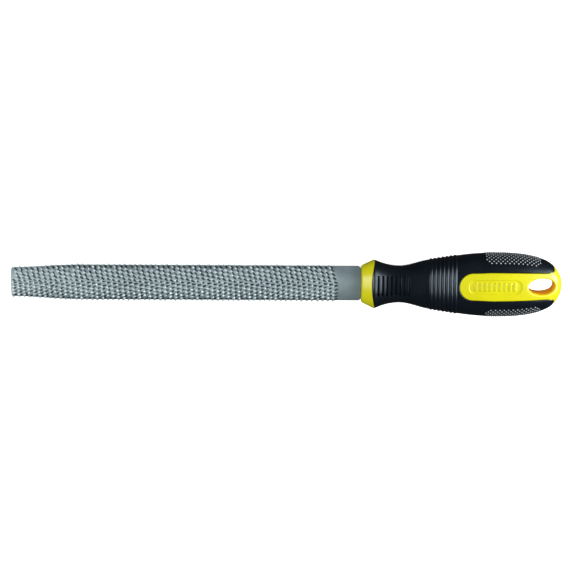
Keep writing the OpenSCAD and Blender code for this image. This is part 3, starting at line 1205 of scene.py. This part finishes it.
@dataclass
class HandleCore(Piece):
    """The hard yellow core: collar, both panels, the end and the hanging hole."""

    NODE: ClassVar[Node] = Node.CORE
    SLOT: ClassVar[Slot] = Slot.PLASTIC
    SHARP: ClassVar[float] = 38.0

    seams: Seams
    # gap at the grip's edges, and the rounded lips beside it
    seam: float = 0.12
    collar_lip: float = 0.25
    panel_lip: float = 0.6
    lip_steps: int = 6
    under_grip: float = 2.53
    # the tang's socket: depth, width and thickness at the mouth, and both at its bottom
    socket: Triple = (63.0, 11.08, 4.68)
    socket_end: Pair = (4.02, 2.82)
    # hanging hole
    hole_end: float = 4.5
    hole_l: float = 15.8
    hole_w: float = 9.2
    hole_flare: float = 1.2
    # sunk field on the panel, and the bars left standing in it
    field_x: float = 60.5
    field_l: float = 30.0
    field_w: float = 8.0
    field_deep: float = 0.42
    field_edge: float = 0.45
    bar_count: int = 9
    bar_w: float = 1.6
    bar_clear: float = 1.5
    bar_edge: float = 0.4
    # fineness of the mesh
    panel_rows: int = 34
    cap_rows: int = 14
    collar_rows: int = 44
    edge_step: float = 0.1
    flare_rows: int = 8
    # row of the hole's wall from which it takes the painted orange of light bounced round the hole, and
    # over how many rows
    bounce_from: float = 3.0
    bounce_over: float = 4.0

    def oval(self, grow: float, before: int, after: int) -> np.ndarray:
        """Half of the hole's outline, from the end nearest the blade round to the other end.

        Args:
            grow: How far the outline is let out.
            before: Number of steps up to the broadest place.
            after: Number of steps from there on.

        Returns:
            Points with X and Y.
        """
        middle = self.seams.form.length - self.hole_end - self.hole_l / 2.0
        first = np.linspace(math.pi, QUARTER, before + 1)
        beta = np.concatenate([first, np.linspace(QUARTER, 0.0, after + 1)[1:]])
        x = middle + (self.hole_l / 2.0 + grow) * np.cos(beta)
        y = (self.hole_w / 2.0 + grow) * np.sin(beta)
        y[[0, -1]] = 0.0
        return np.stack([x, y], axis=1)

    def relief(self, x: np.ndarray, y: np.ndarray) -> np.ndarray:
        """Depth of the sunk field on the panel, with its upright bars left standing.

        Args:
            x: Distances from the front of the handle.
            y: Distances across from the middle line.

        Returns:
            The depths, as shares of the field's full depth.
        """
        r = self.field_w / 2.0
        middle = self.field_x + self.field_l / 2.0
        reach = np.maximum(np.abs(x - middle) - (self.field_l / 2.0 - r), 0.0)
        depth = ease((r - np.hypot(reach, y)) / self.field_edge + 0.5)
        span = self.field_l - self.field_w
        for i in range(self.bar_count):
            at = middle + span * (i / (self.bar_count - 1) - 0.5)
            tall = self.field_w / 2.0 - self.bar_clear * self.bar_w
            off = np.hypot(x - at, np.maximum(np.abs(y) - tall, 0.0))
            depth = depth * (1.0 - ease((self.bar_w / 2.0 - off) / self.bar_edge + 0.5))
        return depth

    def collar(self, front: Line) -> np.ndarray:
        """The socket, the front face and the collar.

        Args:
            front: The grip's front edge.

        Returns:
            Rows from the bottom of the socket over the front face and the collar to its lip.
        """
        form = self.seams.form
        edge = front.moved(-self.seam - self.collar_lip)
        near = spaced(0.0, form.edge_run, self.edge_step)
        rows = [form.point(np.full(front.x.shape, x), edge[1]) for x in near]
        for share in np.linspace(0.0, 1.0, self.collar_rows):
            rows.append(form.point(form.edge_run + (edge[0] - form.edge_run) * share, edge[1]))
        mouth = boxed(rows[0], 0.0, self.socket[1], self.socket[2])
        deep = boxed(rows[0], self.socket[0], *self.socket_end)
        middle = deep * np.array([1.0, 0.0, 0.0])
        face = [mouth + (rows[0] - mouth) * share for share in (1 / 3, 2 / 3)]
        return np.stack([middle, deep, mouth, *face, *rows])

    def tail(self, start: float) -> np.ndarray:
        """Places of the cross-sections over the rounded end, evenly spaced round it.

        Args:
            start: X of the last cross-section before them.

        Returns:
            Their X, the last of which is the handle's end.
        """
        form = self.seams.form
        reach = math.asin((start - form.end_x) / form.end_run)
        share = np.linspace(0.0, 1.0, self.cap_rows + 1)[1:]
        return form.end_x + form.end_run * np.sin(reach + (QUARTER - reach) * share)

    def panel(self, seam: Line) -> tuple[np.ndarray, np.ndarray]:
        """The panel and the bare end of one quarter, from the middle line out to the seam.

        Args:
            seam: The whole seam round the panel and the end.

        Returns:
            The surface by cross-section and row, and the rim of the hanging hole.
        """
        form = self.seams.form
        outer_x, outer_turn = seam.moved(-self.seam - self.panel_lip, self.seams.panel_step)
        after = self.seams.rows - 1
        corner = len(seam.x) - 1 - after
        narrow = form.length - self.hole_end - self.hole_l - self.hole_flare
        lead = int(np.searchsorted(outer_x[: corner + 1], narrow))
        rim = self.oval(self.hole_flare, corner - lead, after)
        rim_turn = form.turn_at(rim[:, 0], rim[:, 1])
        shift = narrow - outer_x[lead]
        inner_x = np.concatenate([outer_x[:lead] + shift * ease(np.arange(lead) / lead), rim[:, 0]])
        inner_turn = np.concatenate([np.full(lead, QUARTER), rim_turn])
        inner_x = np.concatenate([inner_x, self.tail(float(inner_x[-1]))])
        inner_turn = np.concatenate([inner_turn, np.full(self.cap_rows, QUARTER)])
        outer_x = np.concatenate([outer_x, self.tail(float(outer_x[-1]))])
        outer_turn = np.concatenate([outer_turn, np.zeros(self.cap_rows)])
        # rows run from the inner line, along the middle and round the hole, to the outer line
        across = np.linspace(0.0, 1.0, self.panel_rows)
        x = inner_x[:, None] + (outer_x - inner_x)[:, None] * across
        turn = inner_turn[:, None] + (outer_turn - inner_turn)[:, None] * across
        surface = form.point(x, turn, self.seams.panel_step)
        sunk = self.relief(surface[..., 0], surface[..., 1]) * self.field_deep
        surface = surface - form.normal(np.minimum(x, form.end_x), turn) * sunk[..., None]
        return surface, surface[lead : lead + len(rim), 0]

    def hole(self, rim: np.ndarray, before: int, after: int) -> np.ndarray:
        """The wall of the hanging hole.

        Args:
            rim: Points of the hole's flared rim.
            before: Number of steps from the rim's first point to its broadest place.
            after: Number of steps from there on.

        Returns:
            Rows from the rim down the wall to half the handle's thickness.
        """
        wall = self.oval(0.0, before, after)
        form = self.seams.form
        top = form.point(wall[:, 0], form.turn_at(wall[:, 0], wall[:, 1]), self.seams.panel_step)
        top[:, :2] = wall
        foot = top - np.array([0.0, 0.0, self.hole_flare])
        rows = []
        for t in np.linspace(0.0, 1.0, self.flare_rows):
            rows.append(rim * (1.0 - t) ** 2 + top * 2.0 * t * (1.0 - t) + foot * t**2)
        for share in (0.5, 0.0):
            rows.append(foot * np.array([1.0, 1.0, share]))
        return np.stack(rows)

    def build(self) -> bpy.types.Mesh:
        """Makes the core.

        Returns:
            The mesh, with the wall of the hole marked for its painted bounce light.
        """
        seams = self.seams
        front = seams.front()
        seam = seams.around(seams.panel_edge())
        body, foot = seams.lining(self.under_grip)
        collar = self.collar(front)
        nose = front.lip(collar[-1], -self.seam, 0.0, self.collar_lip, self.lip_steps)
        panel, rim = self.panel(seam)
        edge = panel[: len(seam.x), -1]
        lip = seam.lip(edge, -self.seam, seams.panel_step, self.panel_lip, self.lip_steps)
        after = seams.rows - 1
        hole = self.hole(rim, len(rim) - 1 - after, after)
        # painted bounce light on the hole's wall, from a few rows down
        deep = ease((np.arange(len(hole)) - self.bounce_from) / self.bounce_over)
        shell = Shell()
        shell.add_quarters(body)
        shell.add_quarters(collar)
        shell.add_quarters(np.concatenate([nose, body[0][None]]))
        shell.add_quarters(panel)
        shell.add_quarters(np.concatenate([lip, foot[None]]))
        shell.add_quarters(hole, np.repeat(deep[:, None], hole.shape[1], axis=1))
        return shell.mesh(self.NODE.value, self.place, "deep")


class Face(Enum):
    """The two toothed faces of the blade."""

    ROUND = "round"
    FLAT = "flat"


@dataclass(frozen=True)
class Tooth:
    """Where one tooth stands, which way it points and how tall it is.

    Attributes:
        at: Distance of its point from the tip of the blade.
        across: Its place across the face, as a share of the half width.
        stray: How far it has strayed from that place.
        yaw: Turn of its point away from the blade's tip, in radians.
        tall: Its height, as a share of a full tooth's.
    """

    at: float
    across: float
    stray: float
    yaw: float
    tall: float


@dataclass
class Skin:
    """The blade's surface, by cross-section and place round it.

    Attributes:
        points: The points.
        out: Directions out of the surface.
        across: Directions across the surface.
        walk: Place of each point across its face, from the middle.
    """

    points: np.ndarray
    out: np.ndarray
    across: np.ndarray
    walk: np.ndarray


@dataclass
class RaspBlade(Piece):
    """The half-round blade with its punched teeth, and the tang that holds it in the handle."""

    NODE: ClassVar[Node] = Node.BLADE
    SLOT: ClassVar[Slot] = Slot.STEEL
    SHARP: ClassVar[float] = 55.0
    # distance from the tip, how far it is pinched in all round, and trimmed on each side
    TIP: ClassVar[tuple[Triple, ...]] = (
        (0.0, 0.4, 0.55),
        (0.12, 0.2, 0.35),
        (0.3, 0.08, 0.2),
        (0.55, 0.0, 0.05),
    )

    length: float = 200.0
    width: float = 20.0
    thickness: float = 6.0
    land: float = 1.0
    corner: float = 0.2
    tip_w: float = 16.8
    tip_t: float = 4.4
    tip_run: float = 40.0
    heel: float = 15.0
    shoulder: float = 2.2
    tang: Triple = (62.0, 11.0, 4.6)
    tang_end: Pair = (4.0, 2.8)
    foot_pinch: float = 0.12
    foot_share: float = 0.85
    # rows of teeth
    pitch: float = 3.0
    across: int = 9
    shift: float = 0.27
    bow: Pair = (-1.3, -1.0)
    first_row: float = 1.4
    bare_tip: float = 0.9
    reach: float = 1.04
    edge_from: float = 0.82
    edge_at: float = 0.975
    splay: float = 52.0
    splay_low: float = 43.0
    splay_turn: float = 3.0
    # one tooth and the pit before it
    spur_h: float = 0.9
    spur_l: float = 2.0
    spur_half: float = 0.62
    spur_lead: float = 0.08
    spur_rise: float = 0.34
    spur_top: float = 0.26
    spur_fall: float = 0.6
    spur_drop: float = 0.3
    spur_lean: float = 0.22
    pit_deep: float = 0.75
    pit_l: float = 2.45
    pit_half: float = 0.56
    pit_rise: float = 0.45
    pit_slope: float = 0.3
    tip_share: float = 0.85
    tall_run: float = 60.0
    edge_share: float = 1.4
    flat_share: float = 0.75
    # how much the teeth differ: along, across, turn in degrees, height
    uneven: tuple[float, float, float, float] = (0.1, 0.08, 5.0, 0.14)
    seed: int = 7
    # how much lighter the toothed steel is between the teeth, less the painted shade towards the sides
    fresh: float = 0.17
    fresh_tip: float = 0.9
    fresh_run: float = 70.0
    fresh_end: float = 3.0
    painted_side_shade: float = 0.3
    # fineness of the mesh
    round_steps: int = 92
    flat_steps: int = 54
    toothed_from: float = 0.8
    toothed_past: float = 1.0
    grid_pitch: float = 0.3
    heel_pitch: float = 0.9
    shoulder_rows: int = 10
    near_rows: int = 8
    near: float = 2.4

    @property
    def crown_r(self) -> float:
        """Radius of the half-round face."""
        rise = self.thickness - self.land
        return ((self.width / 2.0) ** 2 + rise**2) / (2.0 * rise)

    def columns(self, face: Face) -> slice:
        """The places round a cross-section that belong to a face."""
        first = self.flat_steps + 2 if face is Face.ROUND else 0
        return slice(first, first + (self.round_steps if first else self.flat_steps) + 1)

    def size(self, d: np.ndarray) -> tuple[np.ndarray, np.ndarray]:
        """The blade's section, which narrows towards the tip.

        Args:
            d: Distances from the tip.

        Returns:
            The widths and the thicknesses.
        """
        share = ease(d / self.tip_run)
        wide = self.tip_w + (self.width - self.tip_w) * share
        return wide, self.tip_t + (self.thickness - self.tip_t) * share

    def stations(self) -> tuple[np.ndarray, np.ndarray, np.ndarray]:
        """The cross-sections from the tip to the shoulders.

        Returns:
            Their distances from the tip, how far each is pinched in all round, and how far its
            width is trimmed on each side.
        """
        tip, pinch, trim = np.array(self.TIP).T
        teeth_end = self.length - self.heel + self.toothed_past
        toothed = spaced(self.toothed_from, teeth_end, self.grid_pitch)
        heel = spaced(teeth_end, self.length - self.shoulder, self.heel_pitch)
        angles = np.linspace(0.0, QUARTER, self.shoulder_rows)
        shoulders = self.length - self.shoulder * (1.0 - np.sin(angles))
        plain = np.zeros(len(toothed) + len(heel))
        rounding = self.shoulder * (1.0 - np.cos(angles))
        foot = np.where(angles > QUARTER * self.foot_share, self.foot_pinch, 0.0)
        return (
            np.concatenate([tip, toothed, heel, shoulders]),
            np.concatenate([pinch, plain, foot]),
            np.concatenate([trim, plain, rounding]),
        )

    def skin(self) -> Skin:
        """The blade's surface without teeth.

        Returns:
            The surface: the flat face, one side, the half-round face, the other side, and the
            flat face's first point once more.
        """
        d, pinch, trim = self.stations()
        wide, thick = self.size(d)
        half = wide / 2.0 - trim
        r = self.crown_r
        base = -self.thickness / 2.0
        flat = np.linspace(-1.0, 1.0, self.flat_steps + 1)
        turn_end = np.arcsin(half / r)
        turns = turn_end[:, None] * np.linspace(1.0, -1.0, self.round_steps + 1)
        crown = thick + base
        flat_y = (half - self.corner)[:, None] * flat
        flat_z = np.full(flat_y.shape, base)
        arc_z = crown[:, None] - r * (1.0 - np.cos(turns))
        side_y = half[:, None]
        side_z = np.full(side_y.shape, base + self.corner)
        y = np.concatenate([flat_y, side_y, r * np.sin(turns), -side_y, flat_y[:, :1]], axis=1)
        z = np.concatenate([flat_z, side_z, arc_z, side_z, flat_z[:, :1]], axis=1)
        middle = ((crown + base) / 2.0)[:, None]
        y = y * (1.0 - pinch[:, None] / half[:, None])
        z = middle + (z - middle) * (1.0 - pinch[:, None] / (crown - base)[:, None] * 2.0)
        x = np.repeat((d - self.length)[:, None], y.shape[1], axis=1)
        points = np.stack([x, y, z], axis=-1)
        skin = Skin(points, np.zeros_like(points), np.zeros_like(points), np.zeros(x.shape))
        plane, crest = self.columns(Face.FLAT), self.columns(Face.ROUND)
        skin.out[:, plane, 2] = -1.0
        skin.across[:, plane, 1] = 1.0
        skin.walk[:, plane] = flat_y
        skin.out[:, crest, 1] = np.sin(turns)
        skin.out[:, crest, 2] = np.cos(turns)
        skin.across[:, crest, 1] = np.cos(turns)
        skin.across[:, crest, 2] = -np.sin(turns)
        skin.walk[:, crest] = turns * r
        return skin

    def tall(self, face: Face, at: float, across: float) -> float:
        """Height of a tooth by its place, before it differs from its neighbours.

        Args:
            face: The face that it stands on.
            at: Distance from the tip.
            across: Place across the face, as a share of the half width.

        Returns:
            The height, as a share of a full tooth's.
        """
        share = self.tip_share + (1.0 - self.tip_share) * float(ease(at / self.tall_run))
        if face is Face.FLAT:
            return share * self.flat_share
        return share * (self.edge_share if abs(across) > self.edge_from else 1.0)

    def teeth(self, face: Face) -> Iterator[Tooth]:
        """Sets out the teeth of one face in bowed rows, each row shifted against the last.

        Args:
            face: The face.

        Yields:
            The teeth, each a little uneven.
        """
        rng = np.random.default_rng(self.seed + self.columns(face).start)
        rows = int((self.length - self.heel + self.pitch / 2.0) / self.pitch)
        for row in range(rows):
            phase = (row * self.shift) % 1.0
            for place in range(-1, self.across + 1):
                middle = place + 0.5 + phase
                q = -((middle - 0.5) * 2.0 / self.across - 1.0 + 1.0 / self.across)
                if abs(q) > self.reach:
                    continue
                if abs(q) > self.edge_from:
                    q = math.copysign(self.edge_at, q)
                along, aside, turned, taller = rng.normal(0.0, 1.0, 4) * self.uneven
                at = self.first_row + row * self.pitch + self.bow[0] * q + self.bow[1] * q * q + along
                if not self.bare_tip < at < self.length - self.heel:
                    continue
                splay = self.splay if q > 0.0 else self.splay_low
                yaw = math.radians(splay * math.tanh(self.splay_turn * q) + turned)
                yield Tooth(at, q, aside, yaw, (1.0 + taller) * self.tall(face, at, q))

    def spur(self, u: np.ndarray, v: np.ndarray) -> np.ndarray:
        """Shape of a full tooth above the surface: a steep front and a long back.

        Args:
            u: Distances back from the tooth's point.
            v: Distances to its side.

        Returns:
            The heights, as shares of the full height.
        """
        front = ease((u + self.spur_lead) / self.spur_rise)
        fall = 1.0 - self.spur_drop * np.clip(u / self.spur_l, 0.0, 1.0)
        back = fall * ease((self.spur_l - u) / self.spur_fall)
        ridge = np.clip(1.0 - (v / self.spur_half) ** 2, 0.0, 1.0)
        return np.where(u < self.spur_top, front, back) * ridge

    def pit(self, u: np.ndarray, v: np.ndarray) -> np.ndarray:
        """Shape of the pit that the punch leaves before a full tooth.

        Args:
            u: Distances back from the tooth's point.
            v: Distances to its side.

        Returns:
            The depths, as shares of the full depth.
        """
        slope = 1.0 - self.pit_slope * (1.0 - np.clip(1.0 + u / self.pit_l, 0.0, 1.0))
        start = ease((u + self.pit_l) / self.pit_rise) * slope
        bowl = start * (1.0 - ease((u + self.spur_top) / self.spur_rise))
        return bowl * np.clip(1.0 - (v / self.pit_half) ** 2, 0.0, 1.0)

    def punch(self, skin: Skin, face: Face) -> np.ndarray:
        """Punches the teeth of one face into the surface, in place.

        Args:
            skin: The surface.
            face: The face.

        Returns:
            A mark for each point: up to 1 on a spur, down to -1 in a pit.
        """
        columns = self.columns(face)
        d = skin.points[:, 0, 0] + self.length
        rise = np.zeros(skin.walk.shape)
        lean = np.zeros((*skin.walk.shape, 2))
        for tooth in self.teeth(face):
            i = int(np.searchsorted(d, tooth.at))
            rows = slice(max(i - self.near_rows, 0), i + self.near_rows + 1)
            reach = skin.walk[i, columns]
            middle = tooth.across * np.abs(reach).max() + tooth.stray
            near = np.nonzero(np.abs(reach - middle) < self.near)[0]
            cols = slice(columns.start + near[0], columns.start + near[-1] + 1)
            dx = d[rows, None] - tooth.at
            ds = skin.walk[rows, cols] - middle
            cos, sin = math.cos(tooth.yaw), math.sin(tooth.yaw)
            u = ds * sin - dx * cos
            v = dx * sin + ds * cos
            spur = self.spur(u, v) * tooth.tall
            rise[rows, cols] += self.spur_h * spur - self.pit_deep * self.pit(u, v) * tooth.tall
            lean[rows, cols, 0] -= self.spur_lean * spur * cos
            lean[rows, cols, 1] += self.spur_lean * spur * sin
        lean *= (rise > 0.0)[..., None]
        skin.points += skin.out * rise[..., None] + skin.across * lean[..., 1:]
        skin.points[..., 0] = np.maximum(skin.points[..., 0] + lean[..., 0], -self.length)
        return np.clip(np.where(rise > 0.0, rise / self.spur_h, rise / self.pit_deep), -1.0, 1.0)

    def brightness(self, skin: Skin) -> np.ndarray:
        """How much brighter the toothed steel is than the bare heel.

        Args:
            skin: The surface.

        Returns:
            What each point's mark gains, more towards the tip, and less towards the sides, where painted
            shade darkens the steel.
        """
        d = skin.points[:, :1, 0] + self.length
        fresh = self.fresh * (1.0 + self.fresh_tip * (1.0 - ease(d / self.fresh_run)))
        sides = (skin.walk / np.maximum(np.abs(skin.walk).max(axis=1, keepdims=True), 1.0)) ** 2
        past = ease((d - self.length + self.heel + self.toothed_past) / self.fresh_end)
        # painted shade: the steel is darkened towards the sides of each face
        return (fresh - self.painted_side_shade * sides) * (1.0 - past)

    def build(self) -> bpy.types.Mesh:
        """Makes the blade and its tang as one closed mesh.

        Returns:
            The mesh, with its cut places marked.
        """
        skin = self.skin()
        mark = self.punch(skin, Face.ROUND) + self.punch(skin, Face.FLAT)
        skin.points[:, -1], mark[:, -1] = skin.points[:, 0], mark[:, 0]
        # the gain carries the painted side shade into the cut mark
        mark = mark + self.brightness(skin)
        tip, heel = skin.points[0], skin.points[-1]
        middle = (tip.min(axis=0) + tip.max(axis=0)) / 2.0
        face = [middle + (tip - middle) * share for share in (0.0, 0.5)]
        root = boxed(heel, 0.0, self.tang[1], self.tang[2])
        end = boxed(heel, self.tang[0], *self.tang_end)
        tang = [root, end, end * np.array([1.0, 0.0, 0.0])]
        grid = np.concatenate([np.stack(face), skin.points, np.stack(tang)])
        marks = np.zeros(grid.shape[:2])
        marks[len(face) : -len(tang)] = mark
        shell = Shell()
        shell.add(grid, marks)
        return shell.mesh(self.NODE.value, self.place, "cut")


@dataclass(frozen=True)
class Lamp:
    """One square lamp that faces the tool.

    Attributes:
        name: Its name.
        at: Its place, in metres.
        size: Length of its sides, in metres.
        power: Its power in watts.
        mirrored: Whether it shows in the finishes' shine.
    """

    name: str
    at: Triple
    size: float
    power: float
    mirrored: bool = True

    def hang(self) -> None:
        """Puts the lamp in its place, out of the camera's sight."""
        data = bpy.data.lights.new(self.name, "AREA")
        data.shape = "SQUARE"
        data.size = self.size
        data.energy = self.power
        lamp = bpy.data.objects.new(self.name, data)
        lamp.location = self.at
        lamp.rotation_euler = (-Vector(self.at)).to_track_quat("-Z", "Y").to_euler()
        lamp.visible_camera = False
        lamp.visible_glossy = self.mirrored
        bpy.context.scene.collection.objects.link(lamp)


@dataclass(frozen=True)
class Studio:
    """A pale floor, soft lights and the camera over the tool."""

    LAMPS: ClassVar[tuple[Lamp, ...]] = (
        Lamp("above", (0.12, 0.05, 1.25), 0.5, 6.0, mirrored=False),
        Lamp("right", (1.08, 0.1, 0.66), 1.0, 17.0),
        Lamp("left", (-1.0, 0.1, 0.75), 0.6, 8.0),
        Lamp("end", (0.5, 0.02, 0.09), 0.16, 1.2),
    )
    WHITE: ClassVar[tuple[float, float, float, float]] = (1.0, 1.0, 1.0, 1.0)

    floor_z: float
    distance: float = 1.0
    tilt: float = 8.4
    roll: float = 0.27
    aim: Pair = (-0.0007, -0.00095)
    view_width: float = 0.3257
    sensor: float = 36.0
    near: float = 0.01
    sky: float = 0.42
    mirrored_sky: float = 0.035
    seen_sky: float = 1.0
    paper: float = 0.93
    paper_rough: float = 0.9
    glow: float = 0.6
    reach: float = 4.0

    def floor(self) -> None:
        """Lays a wide pale floor that the handle rests on."""
        mesh = bpy.data.meshes.new("floor")
        edge = [(-1, -1), (1, -1), (1, 1), (-1, 1)]
        points = [(x * self.reach, y * self.reach, self.floor_z) for x, y in edge]
        mesh.from_pydata(points, [], [(0, 1, 2, 3)])
        floor = bpy.data.objects.new("floor", mesh)
        bpy.context.scene.collection.objects.link(floor)
        paper = Recipe("paper")
        paper.set(Base_Color=(self.paper, self.paper, self.paper, 1.0), Roughness=self.paper_rough)
        paper.set(Emission_Color=self.WHITE, Emission_Strength=self.glow)
        mesh.materials.append(paper.material)
        floor.visible_glossy = False
        floor.visible_diffuse = False
        floor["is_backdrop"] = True

    def camera(self) -> None:
        """Sets the camera over the tool, tilted and rolled a little."""
        data = bpy.data.cameras.new("camera")
        data.sensor_width = self.sensor
        data.lens = data.sensor_width * self.distance / self.view_width
        data.clip_start = self.near
        camera = bpy.data.objects.new("camera", data)
        tilt = math.radians(self.tilt)
        aim = Vector((*self.aim, 0.0))
        camera.matrix_world = (
            Matrix.Translation(aim + self.distance * Vector((0.0, math.sin(tilt), math.cos(tilt))))
            @ Matrix.Rotation(-tilt, 4, "X")
            @ Matrix.Rotation(math.radians(self.roll), 4, "Z")
        )
        bpy.context.scene.collection.objects.link(camera)
        bpy.context.scene.camera = camera

    def room(self) -> None:
        """Surrounds the tool with soft light that is dim in its shine and white to the eye."""
        world = bpy.data.worlds.new("room")
        world.use_nodes = True
        nodes = world.node_tree.nodes
        links = world.node_tree.links
        soft = nodes["Background"]
        soft.inputs["Color"].default_value = self.WHITE
        soft.inputs["Strength"].default_value = self.sky
        rays = nodes.new("ShaderNodeLightPath")
        light = soft.outputs[0]
        for ray, strength in (("Is Glossy Ray", self.mirrored_sky), ("Is Camera Ray", self.seen_sky)):
            shade = nodes.new("ShaderNodeBackground")
            shade.inputs["Color"].default_value = self.WHITE
            shade.inputs["Strength"].default_value = strength
            mix = nodes.new("ShaderNodeMixShader")
            links.new(rays.outputs[ray], mix.inputs[0])
            links.new(light, mix.inputs[1])
            links.new(shade.outputs[0], mix.inputs[2])
            light = mix.outputs[0]
        links.new(light, nodes["World Output"].inputs["Surface"])
        bpy.context.scene.world = world

    def build(self) -> None:
        """Sets up the floor, the camera, the lamps and the room."""
        self.floor()
        self.camera()
        for lamp in self.LAMPS:
            lamp.hang()
        self.room()
        bpy.context.scene.view_settings.view_transform = "Standard"


def corners(box: tuple) -> list[list[float]]:
    """A box's two corners as plain lists."""
    return [[float(v) for v in corner] for corner in box]


def main() -> None:
    """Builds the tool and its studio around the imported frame."""
    logging.basicConfig(level=logging.INFO, format="%(name)s: %(message)s")
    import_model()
    solid_box = corners(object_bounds())
    place = float(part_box(Node.CORE.value)[0].x)
    seams = Seams()
    work: list[tuple[Piece, Finish]] = [
        (RaspBlade(place), ToothedSteel()),
        (SoftGrip(place, seams), SoftRubber()),
        (HandleCore(place, seams), MouldedPlastic()),
    ]
    for maker, finish in work:
        piece = maker.dress(finish)
        LOG.info("%s: %d points, %d faces", piece.name, len(piece.data.vertices), len(piece.data.polygons))
    Studio(floor_z=solid_box[0][2] - FLOOR_GAP).build()


if __name__ == "__main__":
    main()
